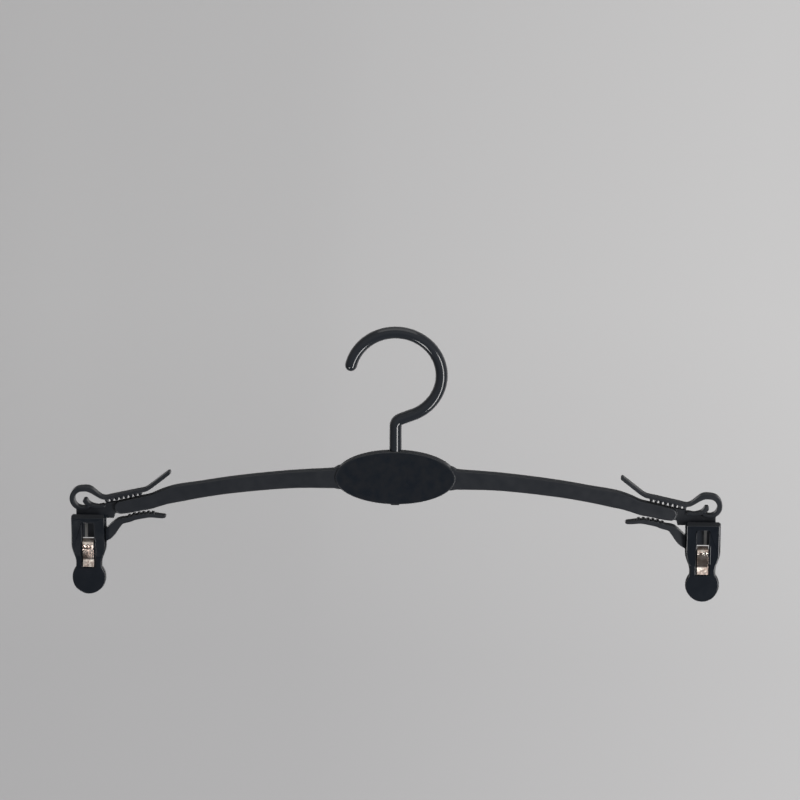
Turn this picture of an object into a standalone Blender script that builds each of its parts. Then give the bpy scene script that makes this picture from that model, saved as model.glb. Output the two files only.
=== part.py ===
"""Delicates hanger with two sprung clips.

One black moulding carries the round hook, the oval centre plate, the two curved arms and,
at each end, a gripping finger with an eyelet loop, a lower gripping finger and the fixed
back jaw of a clip. Each clip adds a front lever and a flat U spring of strip metal.

Sizes are in metres. X runs along the hanger, the front faces -Y and Z is up. The origin
is the seat of the hook, the inner top of its ring.
"""

import math

import bmesh
import bpy
from mathutils import Matrix, Vector

# Overall sizes
HANGER_WIDTH = 0.2800
FIT_GAP = 0.0003
CUT_OVERRUN = 0.002
MOULDING_DEPTH = 0.0052

# Hook
HOOK_ROD_RADIUS = 0.0026
HOOK_RING_HALF_WIDTH = 0.0196
HOOK_RING_HALF_HEIGHT = 0.0185
HOOK_TIP_ANGLE = math.radians(167.1)
HOOK_RING_END_ANGLE = math.radians(-71.0)
HOOK_BEND_RADIUS = 0.0032
HOOK_ROD_SIDES = 16
HOOK_RING_STEPS = 44
HOOK_BEND_STEPS = 5
HOOK_TIP_STEPS = 4

# Oval centre plate
OVAL_WIDTH = 0.0518
OVAL_HEIGHT = 0.0229
OVAL_DROP = 0.0603
OVAL_FRONT_STEP = 0.0005
OVAL_BACK_STEP = 0.0002
OVAL_EDGE_RADIUS = 0.0004
OVAL_RIM = 0.0021
OVAL_RECESS_DEPTH = 0.0026
OVAL_STEPS = 72
GATE_NUB_WIDTH = 0.0036
GATE_NUB_HEIGHT = 0.00045
GATE_NUB_DEPTH = 0.0030

# Arms
ARM_END_INSET = 0.0193
ARM_DROP = 0.0147
ARM_HEIGHT = 0.0082
ARM_EDGE_RADIUS = 0.0007
ARM_EDGE_STEPS = 2
ARM_WALL = 0.0013
ARM_FRONT_WALL = 0.0016
ARM_CHANNEL_START_SHARE = 0.257
ARM_CHANNEL_END_SHARE = 0.932
ARM_END_STEPS = 10
ARM_SPAN_STEPS = 3

# Along, drop and height of the arm, as shares of its reach, drop and height
ARM_STATION_SHARES = (
    (0.165, 0.020, 1.200),
    (0.199, 0.022, 1.220),
    (0.214, 0.040, 1.070),
    (0.232, 0.057, 1.000),
    (0.340, 0.088, 0.909),
    (0.448, 0.162, 0.870),
    (0.552, 0.260, 0.851),
    (0.622, 0.342, 0.835),
    (0.697, 0.447, 0.840),
    (0.768, 0.553, 0.895),
    (0.805, 0.620, 0.870),
    (0.838, 0.709, 0.835),
    (0.871, 0.812, 0.775),
    (0.908, 0.875, 0.740),
    (0.9485, 0.949, 0.735),
    (0.978, 0.993, 0.675),
)

# Eyelet loop and upper gripping finger
GRIP_DEPTH = 0.0050
LOOP_OUTER_RADIUS = 0.0052
LOOP_WALL = 0.0023
LOOP_THIN_SHARE = 0.62
LOOP_THICK_ANGLE = math.radians(45.0)
LOOP_ABOVE_ARM_END = 0.0039
LOOP_START_ANGLE = math.radians(-128.0)
LOOP_END_ANGLE = math.radians(84.0)
LOOP_STEPS = 22
FINGER_REACH = 0.0380
FINGER_WALL = 0.0012
FINGER_EDGE_RADIUS = 0.00022
FINGER_SPAN_STEPS = 3
END_STEPS = 6

# Centre line from the loop to the finger's tip, inward and up from the loop's centre, with
# the wall, as shares of the finger's reach and wall
FINGER_LINE_SHARES = (
    (0.052, 0.110, 1.90),
    (0.092, 0.099, 1.92),
    (0.131, 0.076, 1.64),
    (0.180, 0.041, 1.36),
    (0.230, 0.013, 1.18),
    (0.281, 0.009, 1.12),
    (0.340, 0.023, 1.14),
    (0.480, 0.054, 1.16),
    (0.620, 0.085, 1.18),
    (0.712, 0.104, 1.20),
    (0.760, 0.128, 1.28),
    (0.840, 0.188, 1.34),
    (0.920, 0.251, 1.34),
    (0.990, 0.306, 1.28),
)

# Gripping teeth
TOOTH_PITCH = 0.00204
UPPER_TOOTH_HEIGHT = 0.00125
LOWER_TOOTH_HEIGHT = 0.0005
TOOTH_BASE = 0.0018
TOOTH_CREST = 0.0011
TOOTH_ROOT = 0.0004
TOOTH_DEPTH = 0.0046
UPPER_TEETH = 8
UPPER_TEETH_START = 0.0107
LOWER_TEETH = 6
LOWER_TEETH_START = 0.0203

# Nose rib inside the loop
NOSE_DEPTH = 0.0048
NOSE_WALL = 0.0014
NOSE_EDGE_RADIUS = 0.0002

# Centre line of the nose rib from its tip, inward and up from the loop's centre, with the
# wall, as shares of the finger's reach and the nose's wall
NOSE_LINE_SHARES = (
    (0.041, -0.030, 1.50),
    (0.052, -0.046, 1.42),
    (0.072, -0.064, 1.22),
    (0.110, -0.085, 1.05),
    (0.174, -0.098, 1.00),
    (0.215, -0.093, 1.00),
    (0.247, -0.087, 1.00),
)

# Web that ties the arm, the loop and the jaw together
WEB_DEPTH = 0.0020
WEB_EDGE_RADIUS = 0.0002
WEB_TOP_SLOPE = 0.206
WEB_SHOULDER_RISE = 0.0010
WEB_FOOT_DROP = 0.0012
WEB_OUTER_INSET = 0.0027
WEB_LAP_SHARE = 0.33
WEB_ROOT_SHARE = 0.20

# Lower gripping finger and its strut
LOWER_FINGER_BELOW_ARM_END = 0.0040

# Upper and lower edges of the lower finger and its strut, inward and down from the jaw's
# inner edge, as shares of the finger's reach
LOWER_FINGER_TOP_SHARES = (
    (0.666, -0.020),
    (0.602, -0.029),
    (0.489, -0.041),
    (0.402, -0.034),
    (0.310, -0.018),
    (0.266, -0.003),
    (0.218, 0.009),
    (0.142, 0.022),
    (0.084, 0.058),
    (0.000, 0.135),
)
LOWER_FINGER_BOTTOM_SHARES = (
    (0.000, 0.283),
    (0.058, 0.247),
    (0.107, 0.196),
    (0.145, 0.139),
    (0.185, 0.085),
    (0.213, 0.072),
    (0.276, 0.056),
    (0.331, 0.034),
    (0.415, 0.016),
    (0.502, 0.002),
    (0.586, 0.008),
    (0.652, 0.009),
    (0.680, -0.004),
)

# Clip jaws
CLIP_INSET = 0.0081
CLIP_BELOW_ARM_END = 0.0036
JAW_WIDTH = 0.0140
JAW_PLATE_MARGIN = 0.0006
JAW_LENGTH = 0.0343
JAW_CORNER_RADIUS = 0.0007
JAW_CORNER_STEPS = 3
DISC_RADIUS = 0.0070
BACK_DISC_RADIUS = 0.0073
DISC_START_ANGLE = math.radians(40.0)
DISC_STEPS = 12
JAW_SPAN_STEPS = 3

# Half width of the jaw between its straight sides and the disc, as shares of the jaw's
# length down from its top and of its half width
JAW_SHOULDER_SHARES = (
    (0.368, 1.000),
    (0.425, 0.975),
    (0.492, 0.880),
    (0.555, 0.775),
    (0.608, 0.738),
    (0.645, 0.742),
)

# Rim on the back of the fixed jaw
JAW_RIM_WALL = 0.0012
JAW_RIM_HEIGHT = 0.0016
JAW_RIM_START = 0.0004
JAW_RIM_LENGTH = 0.0118
JAW_RIM_TAPER = 0.0008

# Hinge of the clip
HINGE_DROP = 0.0113
LEVER_SWING = math.radians(10.0)
KNUCKLE_RADIUS = 0.0010
KNUCKLE_INSET = 0.0003
KNUCKLE_SIDES = 20

# Lever
LEVER_TOP_DEPTH = 0.0040
LEVER_SLOPE = math.radians(13.2)
LEVER_JAW_WALL = 0.0018
LEVER_WALL = 0.0015
LEVER_FLANGE = 0.0014
LEVER_BEND_RADIUS = 0.0080
LEVER_BEND_STEPS = 4
LEVER_TOP_WALL = 0.0013
LEVER_BAR_HEIGHT = 0.0022
LEVER_LOWER_POCKET = 0.0028

# Windows for the spring
SLOT_WIDTH = 0.0053
SLOT_TOP = 0.0023
SLOT_BELOW_HINGE = 0.0007
SLOT_RIB = 0.0009
GROOVE_WIDTH = 0.0062
GROOVE_DEPTH = 0.0005
GROOVE_ABOVE_HINGE = 0.0022
GROOVE_BELOW_HINGE = 0.0114
BACK_WINDOW_ABOVE_HINGE = 0.0015

# Spring
SPRING_WIDTH = 0.0047
SPRING_THICKNESS = 0.00045
SPRING_CROWN_ABOVE_HINGE = 0.0012
SPRING_SHOULDER_BELOW_HINGE = 0.0012
SPRING_LIFT = 0.0006
SPRING_SEAT_BELOW_HINGE = 0.0075
SPRING_TIP_BELOW_HINGE = 0.0106
SPRING_TIP_FLARE = 0.0008
SPRING_CROWN_STEPS = 14

# Places that follow from the sizes above
MOULDING_HALF = MOULDING_DEPTH / 2
GRIP_HALF = GRIP_DEPTH / 2
WEB_HALF = WEB_DEPTH / 2
HALF_WIDTH = HANGER_WIDTH / 2
RING_CENTRE = Vector((0.0, 0.0, HOOK_ROD_RADIUS - HOOK_RING_HALF_HEIGHT))
ARM_REACH = HALF_WIDTH - ARM_END_INSET
ARM_END_DROP = OVAL_DROP + ARM_DROP
LOOP_X = HALF_WIDTH - LOOP_OUTER_RADIUS
LOOP_DROP = ARM_END_DROP - LOOP_ABOVE_ARM_END
LOWER_FINGER_DROP = ARM_END_DROP + LOWER_FINGER_BELOW_ARM_END
CLIP_OFFSET = HALF_WIDTH - CLIP_INSET
CLIP_TOP = -ARM_END_DROP - CLIP_BELOW_ARM_END
HINGE_Y = -WEB_HALF - FIT_GAP - KNUCKLE_INSET
HINGE_Z = CLIP_TOP - HINGE_DROP
JAW_INNER_X = CLIP_OFFSET - JAW_WIDTH / 2 - JAW_PLATE_MARGIN
LEVER_BACK = -WEB_HALF - FIT_GAP
LEVER_JAW_FRONT = LEVER_BACK - LEVER_JAW_WALL
LEVER_TOP_FRONT = (
    LEVER_BACK
    - (HINGE_DROP + LEVER_TOP_DEPTH * math.sin(LEVER_SLOPE)) * math.tan(LEVER_SWING)
    - LEVER_TOP_DEPTH * math.cos(LEVER_SLOPE)
)

RIGHT = 1
LEFT = -1


def clear_scene():
    """Remove what the scene holds."""
    for thing in list(bpy.data.objects):
        bpy.data.objects.remove(thing, do_unlink=True)


def material(name, colour, roughness, metallic):
    """A Principled material."""
    result = bpy.data.materials.new(name)
    result.use_nodes = True
    shader = result.node_tree.nodes["Principled BSDF"]
    shader.inputs["Base Color"].default_value = (*colour, 1.0)
    shader.inputs["Roughness"].default_value = roughness
    shader.inputs["Metallic"].default_value = metallic
    return result


def solid(name, mesh_edit):
    """Turn an edited mesh into a linked object with outward faces."""
    bmesh.ops.recalc_face_normals(mesh_edit, faces=mesh_edit.faces)
    mesh = bpy.data.meshes.new(name)
    mesh_edit.to_mesh(mesh)
    mesh_edit.free()
    result = bpy.data.objects.new(name, mesh)
    bpy.context.scene.collection.objects.link(result)
    return result


def extruded(name, outline, low, high, place, edge_radius=0.0, edge_steps=2):
    """Extrude an outline from low to high, where place gives a point for (u, v, depth).

    Edges round both outlines are rounded when an edge radius is given.
    """
    edit = bmesh.new()
    lower = [edit.verts.new(place(u, v, low)) for u, v in outline]
    upper = [edit.verts.new(place(u, v, high)) for u, v in outline]
    count = len(outline)
    for index in range(count):
        after = (index + 1) % count
        edit.faces.new((lower[index], lower[after], upper[after], upper[index]))
    caps = [edit.faces.new(lower[::-1]), edit.faces.new(upper)]
    bmesh.ops.recalc_face_normals(edit, faces=edit.faces)
    if edge_radius > 0.0:
        rims = [edge for cap in caps for edge in cap.edges]
        bmesh.ops.bevel(
            edit,
            geom=rims,
            offset=edge_radius,
            offset_type="OFFSET",
            segments=edge_steps,
            profile=0.5,
            affect="EDGES",
            clamp_overlap=True,
        )
    return solid(name, edit)


def front_point(u, v, depth):
    """Outlines drawn as seen from the front."""
    return (u, depth, v)


def side_point(u, v, depth):
    """Outlines drawn as seen from the side, u along Y."""
    return (depth, u, v)


def combine(target, operand, operation):
    """Join, cut or intersect target with operand, which is used up."""
    modifier = target.modifiers.new(operation.title(), "BOOLEAN")
    modifier.operation = operation
    modifier.solver = "EXACT"
    modifier.object = operand
    graph = bpy.context.evaluated_depsgraph_get()
    result = bpy.data.meshes.new_from_object(target.evaluated_get(graph))
    target.modifiers.clear()
    old = target.data
    target.data = result
    bpy.data.meshes.remove(old)
    used = operand.data
    bpy.data.objects.remove(operand, do_unlink=True)
    bpy.data.meshes.remove(used)


def mirrored(source, name):
    """A copy of source mirrored in X."""
    edit = bmesh.new()
    edit.from_mesh(source.data)
    bmesh.ops.transform(edit, matrix=Matrix.Scale(-1.0, 4, (1.0, 0.0, 0.0)), verts=edit.verts)
    bmesh.ops.reverse_faces(edit, faces=edit.faces)
    return solid(name, edit)


def smooth_line(points, steps):
    """A Catmull-Rom curve through the points, steps to each span."""
    first = [2 * a - b for a, b in zip(points[0], points[1])]
    last = [2 * a - b for a, b in zip(points[-1], points[-2])]
    ring = [first, *points, last]
    line = []
    for span in range(len(points) - 1):
        p0, p1, p2, p3 = ring[span:span + 4]
        for step in range(steps):
            t = step / steps
            line.append(tuple(
                b + t * ((c - a) + t * ((2 * a - 5 * b + 4 * c - d) + t * (3 * b - a - 3 * c + d))) / 2
                for a, b, c, d in zip(p0, p1, p2, p3)
            ))
    line.append(tuple(points[-1]))
    return line


def arc(centre, radius, start, end, steps):
    """Points of an arc, both ends included."""
    angles = [start + (end - start) * step / steps for step in range(steps + 1)]
    return [(centre[0] + radius * math.cos(a), centre[1] + radius * math.sin(a)) for a in angles]


def strip_outline(line):
    """Outline of a strip along a centre line of (u, v, wall), with round ends."""
    left = []
    right = []
    headings = []
    for index, (u, v, wall) in enumerate(line):
        before = line[max(index - 1, 0)]
        after = line[min(index + 1, len(line) - 1)]
        heading = math.atan2(after[1] - before[1], after[0] - before[0])
        headings.append(heading)
        half = wall / 2
        left.append((u - half * math.sin(heading), v + half * math.cos(heading)))
        right.append((u + half * math.sin(heading), v - half * math.cos(heading)))
    quarter = math.pi / 2
    end = line[-1]
    tip = arc(end[:2], end[2] / 2, headings[-1] + quarter, headings[-1] - quarter, END_STEPS)
    start = line[0]
    tail = arc(start[:2], start[2] / 2, headings[0] - quarter, headings[0] - 3 * quarter, END_STEPS)
    return left[:-1] + tip + right[-2:0:-1] + tail[:-1]


def hook():
    """The round rod: tip, open ring, neck, bend and stem, down into the oval plate."""
    path = []
    span = HOOK_RING_END_ANGLE - HOOK_TIP_ANGLE
    for step in range(HOOK_RING_STEPS + 1):
        angle = HOOK_TIP_ANGLE + span * step / HOOK_RING_STEPS
        path.append(RING_CENTRE + Vector((
            HOOK_RING_HALF_WIDTH * math.cos(angle), 0.0, HOOK_RING_HALF_HEIGHT * math.sin(angle),
        )))
    heading = (path[-1] - path[-2]).normalized()
    turn = math.acos(-heading.z)
    run = path[-1].x / -heading.x
    corner = path[-1] + heading * run
    tangent = HOOK_BEND_RADIUS * math.tan(turn / 2)
    bend_centre = corner - heading * tangent
    bend_centre += Vector((heading.z, 0.0, -heading.x)) * -HOOK_BEND_RADIUS
    for step in range(HOOK_BEND_STEPS + 1):
        angle = turn * step / HOOK_BEND_STEPS
        spoke = Matrix.Rotation(-angle, 3, "Y") @ Vector((heading.z, 0.0, -heading.x))
        path.append(bend_centre + spoke * HOOK_BEND_RADIUS)
    path.append(Vector((0.0, 0.0, -OVAL_DROP)))
    return path


def rod(name, path):
    """Sweep the rod along a path in the XZ plane, its first end rounded."""
    edit = bmesh.new()
    rings = []
    tip_heading = (path[1] - path[0]).normalized()
    stations = []
    for step in range(HOOK_TIP_STEPS):
        angle = math.pi / 2 * step / HOOK_TIP_STEPS
        back = path[0] - tip_heading * HOOK_ROD_RADIUS * math.cos(angle)
        stations.append((back, tip_heading, HOOK_ROD_RADIUS * math.sin(angle)))
    for index, point in enumerate(path):
        before = path[max(index - 1, 0)]
        after = path[min(index + 1, len(path) - 1)]
        stations.append((point, (after - before).normalized(), HOOK_ROD_RADIUS))
    pole = edit.verts.new(stations[0][0])
    for point, heading, radius in stations[1:]:
        across = Vector((heading.z, 0.0, -heading.x))
        ring = []
        for side in range(HOOK_ROD_SIDES):
            angle = 2 * math.pi * side / HOOK_ROD_SIDES
            ring.append(edit.verts.new(
                point + radius * (across * math.cos(angle) + Vector((0.0, math.sin(angle), 0.0)))
            ))
        rings.append(ring)
    for side in range(HOOK_ROD_SIDES):
        edit.faces.new((pole, rings[0][side], rings[0][(side + 1) % HOOK_ROD_SIDES]))
    for one, two in zip(rings, rings[1:]):
        for side in range(HOOK_ROD_SIDES):
            after = (side + 1) % HOOK_ROD_SIDES
            edit.faces.new((one[side], one[after], two[after], two[side]))
    edit.faces.new(rings[-1])
    return solid(name, edit)


def oval_outline(inset):
    """The plate's ellipse, drawn in by inset."""
    half_width = OVAL_WIDTH / 2 - inset
    half_height = OVAL_HEIGHT / 2 - inset
    angles = [2 * math.pi * step / OVAL_STEPS for step in range(OVAL_STEPS)]
    return [
        (half_width * math.cos(angle), -OVAL_DROP + half_height * math.sin(angle))
        for angle in angles
    ]


def oval_plate():
    """The centre plate, proud of the arms in front."""
    front = -MOULDING_HALF - OVAL_FRONT_STEP
    back = MOULDING_HALF + OVAL_BACK_STEP
    return extruded(
        "oval", oval_outline(0.0), front, back, front_point, OVAL_EDGE_RADIUS
    )


def arm_edges():
    """Upper and lower edge of the right arm, from its root to the start of its round end."""
    stations = []
    for along_share, drop_share, height_share in ARM_STATION_SHARES:
        along = ARM_REACH * along_share
        level = -OVAL_DROP - ARM_DROP * drop_share
        half = ARM_HEIGHT * height_share / 2
        stations.append((along, level + half, level - half))
    line = smooth_line(stations, ARM_SPAN_STEPS)
    upper = [(along, top) for along, top, bottom in line]
    lower = [(along, bottom) for along, top, bottom in line]
    return upper, lower


def arm():
    """The right arm with rounded edges and a round end."""
    upper, lower = arm_edges()
    radius = (upper[-1][1] - lower[-1][1]) / 2
    centre = (upper[-1][0], lower[-1][1] + radius)
    end = arc(centre, radius, math.pi / 2, -math.pi / 2, ARM_END_STEPS)
    outline = upper[:-1] + end + lower[-2::-1]
    return extruded(
        "arm", outline, -MOULDING_HALF, MOULDING_HALF, front_point, ARM_EDGE_RADIUS, ARM_EDGE_STEPS
    )


def arm_channel():
    """Cutter for the channel along the back of the arm, which leaves walls all round."""
    upper, lower = arm_edges()
    start = ARM_REACH * ARM_CHANNEL_START_SHARE
    end = ARM_REACH * ARM_CHANNEL_END_SHARE
    inner_upper = [
        (x, z - ARM_WALL) for x, z in upper if start < x < end
    ]
    inner_lower = [
        (x, z + ARM_WALL) for x, z in lower if start < x < end
    ]
    floor = -MOULDING_HALF + ARM_FRONT_WALL
    return extruded(
        "channel", inner_upper + inner_lower[::-1], floor, MOULDING_HALF + CUT_OVERRUN, front_point
    )


def finger_line():
    """Centre line of the loop and the upper finger, with the wall at each point."""
    centre = (LOOP_X, -LOOP_DROP)
    line = []
    for step in range(LOOP_STEPS + 1):
        angle = LOOP_START_ANGLE + (LOOP_END_ANGLE - LOOP_START_ANGLE) * step / LOOP_STEPS
        fullness = (1 + math.cos(angle - LOOP_THICK_ANGLE)) / 2
        wall = LOOP_WALL * (LOOP_THIN_SHARE + (1 - LOOP_THIN_SHARE) * fullness)
        radius = LOOP_OUTER_RADIUS - wall / 2
        line.append((centre[0] + radius * math.cos(angle), centre[1] + radius * math.sin(angle), wall))
    finger = [
        (LOOP_X - FINGER_REACH * inward, FINGER_REACH * rise - LOOP_DROP, FINGER_WALL * wall)
        for inward, rise, wall in FINGER_LINE_SHARES
    ]
    return line[:-1] + smooth_line([line[-1], *finger], FINGER_SPAN_STEPS)


def upper_finger():
    """The eyelet loop that runs on into the upper gripping finger."""
    return extruded(
        "finger", strip_outline(finger_line()), -GRIP_HALF, GRIP_HALF, front_point,
        FINGER_EDGE_RADIUS, 1,
    )


def point_inward(line, inward):
    """The point and slope of a line at a distance inward from the loop's centre."""
    x = LOOP_X - inward
    for before, after in zip(line, line[1:]):
        if after[0] <= x <= before[0] and after[0] < before[0]:
            slope = (after[1] - before[1]) / (after[0] - before[0])
            return x, before[1] + slope * (x - before[0]), slope
    return x, line[-1][1], 0.0


def teeth(line, count, start, height, wall, side):
    """A row of blunt teeth along a line, above it for side 1 and below it for side -1."""
    edit = bmesh.new()
    for index in range(count):
        x, z, slope = point_inward(line, start + TOOTH_PITCH * index)
        along = Vector((1.0, 0.0, slope)).normalized()
        out = Vector((-along.z, 0.0, along.x)) * side
        foot = Vector((x, 0.0, z)) + out * (wall / 2 - TOOTH_ROOT)
        crest = foot + out * (height + TOOTH_ROOT)
        corners = (
            foot - along * TOOTH_BASE / 2,
            foot + along * TOOTH_BASE / 2,
            crest + along * TOOTH_CREST / 2,
            crest - along * TOOTH_CREST / 2,
        )
        depth = Vector((0.0, TOOTH_DEPTH / 2, 0.0))
        front = [edit.verts.new(corner - depth) for corner in corners]
        back = [edit.verts.new(corner + depth) for corner in corners]
        edit.faces.new(front)
        edit.faces.new(back[::-1])
        for a in range(len(corners)):
            b = (a + 1) % len(corners)
            edit.faces.new((front[a], back[a], back[b], front[b]))
    return solid("teeth", edit)


def nose_rib():
    """The curled rib whose tip reaches into the loop."""
    points = [
        (LOOP_X - FINGER_REACH * inward, FINGER_REACH * rise - LOOP_DROP, NOSE_WALL * wall)
        for inward, rise, wall in NOSE_LINE_SHARES
    ]
    outline = strip_outline(smooth_line(points, FINGER_SPAN_STEPS))
    half = NOSE_DEPTH / 2
    return extruded("nose", outline, -half, half, front_point, NOSE_EDGE_RADIUS, 1)


def lower_finger_edges():
    """Upper and lower edges of the lower finger and its strut."""
    upper = [
        (JAW_INNER_X - FINGER_REACH * inward, -LOWER_FINGER_DROP - FINGER_REACH * down)
        for inward, down in LOWER_FINGER_TOP_SHARES
    ]
    lower = [
        (JAW_INNER_X - FINGER_REACH * inward, -LOWER_FINGER_DROP - FINGER_REACH * down)
        for inward, down in LOWER_FINGER_BOTTOM_SHARES
    ]
    return upper, lower


def lower_finger():
    """The lower gripping finger on its slanting strut."""
    upper, lower = lower_finger_edges()
    top = smooth_line(upper, FINGER_SPAN_STEPS)
    bottom = smooth_line(lower, FINGER_SPAN_STEPS)
    root_x = JAW_INNER_X + JAW_PLATE_MARGIN - FIT_GAP
    root = [(root_x, top[-1][1]), (root_x, bottom[0][1])]
    return extruded(
        "lower", top + root + bottom, -GRIP_HALF, GRIP_HALF, front_point, FINGER_EDGE_RADIUS, 1
    )


def jaw_side(half_width, disc_radius):
    """Offset and drop of one side of a jaw, from below its top corner to the disc's foot."""
    side = [
        (half_width * width_share, JAW_LENGTH * down_share)
        for down_share, width_share in JAW_SHOULDER_SHARES
    ]
    line = smooth_line(side, JAW_SPAN_STEPS)
    centre = JAW_LENGTH - DISC_RADIUS
    disc = arc((0.0, -centre), disc_radius, DISC_START_ANGLE, -math.pi / 2, DISC_STEPS)
    return line + [(offset, -level) for offset, level in disc]


def jaw_outline(half_width, corner, disc_radius):
    """Front outline of a jaw, as (x, z), with rounded top corners."""
    quarter = math.pi / 2
    top_corner = [
        (half_width - corner + corner * math.cos(a), corner - corner * math.sin(a))
        for a in [quarter * (1 - step / JAW_CORNER_STEPS) for step in range(JAW_CORNER_STEPS + 1)]
    ]
    right = top_corner + jaw_side(half_width, disc_radius)
    left = [(-offset, drop) for offset, drop in right[-2::-1]]
    return [(CLIP_OFFSET + offset, CLIP_TOP - drop) for offset, drop in right + left]


def web_and_jaw():
    """The web at the arm's end and, in one piece with it, the fixed back jaw."""
    half = JAW_WIDTH / 2 + JAW_PLATE_MARGIN
    jaw = jaw_outline(half, JAW_CORNER_RADIUS, BACK_DISC_RADIUS)
    loop_foot = -LOOP_DROP - LOOP_OUTER_RADIUS + LOOP_WALL * WEB_LAP_SHARE
    nose_x = LOOP_X - FINGER_REACH * NOSE_LINE_SHARES[-1][0]
    nose_z = FINGER_REACH * NOSE_LINE_SHARES[-1][1] - LOOP_DROP + NOSE_WALL * WEB_LAP_SHARE
    arm_end = ARM_REACH - ARM_HEIGHT
    arm_level = -OVAL_DROP - ARM_DROP
    outer_x = HALF_WIDTH - WEB_OUTER_INSET
    web = [
        (JAW_INNER_X, CLIP_TOP - WEB_FOOT_DROP),
        (ARM_REACH + FIT_GAP, CLIP_TOP - WEB_FOOT_DROP),
        (ARM_REACH - FIT_GAP, arm_level - ARM_HEIGHT * WEB_LAP_SHARE),
        (arm_end, arm_level - ARM_HEIGHT * WEB_ROOT_SHARE),
        (arm_end, nose_z + WEB_TOP_SLOPE * (nose_x - arm_end)),
        (nose_x - NOSE_WALL, nose_z + WEB_SHOULDER_RISE),
        (nose_x, nose_z),
        (LOOP_X - LOOP_OUTER_RADIUS / 2, loop_foot),
        (outer_x, loop_foot),
        (outer_x, CLIP_TOP),
    ]
    return extruded(
        "web", web + jaw[JAW_CORNER_STEPS - 1:-JAW_CORNER_STEPS - 1], -WEB_HALF, WEB_HALF,
        front_point, WEB_EDGE_RADIUS, 1,
    )


def jaw_rims():
    """Rims down both sides of the fixed jaw's back, and across its top."""
    top = CLIP_TOP - JAW_RIM_START
    foot = top - JAW_RIM_LENGTH
    crest = WEB_HALF + JAW_RIM_HEIGHT
    profile = [
        (0.0, top),
        (crest, top),
        (crest, top - JAW_RIM_WALL),
        (WEB_HALF + JAW_RIM_TAPER, foot),
        (0.0, foot),
    ]
    half = JAW_WIDTH / 2
    sides = []
    for low in (CLIP_OFFSET - half, CLIP_OFFSET + half - JAW_RIM_WALL):
        sides.append(extruded("rim", profile, low, low + JAW_RIM_WALL, side_point))
    across = [
        (0.0, top - FIT_GAP),
        (crest - FIT_GAP, top - FIT_GAP),
        (crest - FIT_GAP, top - JAW_RIM_WALL),
        (0.0, top - JAW_RIM_WALL),
    ]
    reach = half - JAW_RIM_WALL / 2
    sides.append(extruded("rim", across, CLIP_OFFSET - reach, CLIP_OFFSET + reach, side_point))
    return sides


def spring_window(name, low_z, high_z):
    """Cutter for a window that the spring passes through."""
    half = SLOT_WIDTH / 2
    outline = [
        (CLIP_OFFSET - half, low_z),
        (CLIP_OFFSET + half, low_z),
        (CLIP_OFFSET + half, high_z),
        (CLIP_OFFSET - half, high_z),
    ]
    reach = MOULDING_DEPTH + LEVER_TOP_DEPTH
    return extruded(name, outline, -reach, reach, front_point)


def knuckle(radius, low, high):
    """A round bar on the hinge's axis, between two places along it."""
    outline = arc((HINGE_Y, HINGE_Z), radius, 0.0, 2 * math.pi, KNUCKLE_SIDES)[:-1]
    return extruded("knuckle", outline, low, high, side_point)


def knuckle_spans(margin):
    """The knuckle's two stretches along the hinge's axis, with a margin at each end."""
    inner = SLOT_WIDTH / 2
    outer = JAW_WIDTH / 2
    return (
        (CLIP_OFFSET - outer - margin, CLIP_OFFSET - inner + margin),
        (CLIP_OFFSET + inner - margin, CLIP_OFFSET + outer + margin),
    )


def right_wing():
    """Everything that the moulding has on the right of the oval plate."""
    wing = arm()
    combine(wing, arm_channel(), "DIFFERENCE")
    pieces = [web_and_jaw(), *jaw_rims(), upper_finger(), nose_rib(), lower_finger()]
    line = finger_line()
    pieces.append(
        teeth(line, UPPER_TEETH, UPPER_TEETH_START, UPPER_TOOTH_HEIGHT, FINGER_WALL, -1)
    )
    upper, lower = lower_finger_edges()
    top = smooth_line(upper, FINGER_SPAN_STEPS)[::-1]
    pieces.append(teeth(top, LOWER_TEETH, LOWER_TEETH_START, LOWER_TOOTH_HEIGHT, 0.0, 1))
    for piece in pieces:
        combine(wing, piece, "UNION")
    window = spring_window(
        "window", HINGE_Z - SLOT_BELOW_HINGE, HINGE_Z + BACK_WINDOW_ABOVE_HINGE
    )
    combine(wing, window, "DIFFERENCE")
    for low, high in knuckle_spans(FIT_GAP):
        combine(wing, knuckle(KNUCKLE_RADIUS + FIT_GAP, low, high), "DIFFERENCE")
    return wing


def gate_nub():
    """The small moulding mark at the foot of the oval plate."""
    half = GATE_NUB_WIDTH / 2
    foot = -OVAL_DROP - OVAL_HEIGHT / 2
    outline = [
        (-half, foot + GATE_NUB_HEIGHT),
        (-half, foot - GATE_NUB_HEIGHT),
        (half, foot - GATE_NUB_HEIGHT),
        (half, foot + GATE_NUB_HEIGHT),
    ]
    front = OVAL_EDGE_RADIUS - MOULDING_HALF - OVAL_FRONT_STEP
    return extruded("nub", outline, front, front + GATE_NUB_DEPTH, front_point)


def make_body(plastic):
    """The hanger's moulding, in one piece as it is moulded."""
    body = oval_plate()
    body.name = "hanger_body"
    recess_floor = MOULDING_HALF + OVAL_BACK_STEP - OVAL_RECESS_DEPTH
    wing = right_wing()
    combine(body, mirrored(wing, "wing"), "UNION")
    combine(body, wing, "UNION")
    combine(body, rod("rod", hook()), "UNION")
    recess = extruded(
        "recess", oval_outline(OVAL_RIM), recess_floor, MOULDING_DEPTH, front_point
    )
    combine(body, recess, "DIFFERENCE")
    combine(body, gate_nub(), "UNION")
    finish(body, plastic)
    return body


def lever_front(drop):
    """How far forward the lever's front face lies at a drop from the clip's top."""
    return min(LEVER_TOP_FRONT + drop * math.tan(LEVER_SLOPE), LEVER_JAW_FRONT)


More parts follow.
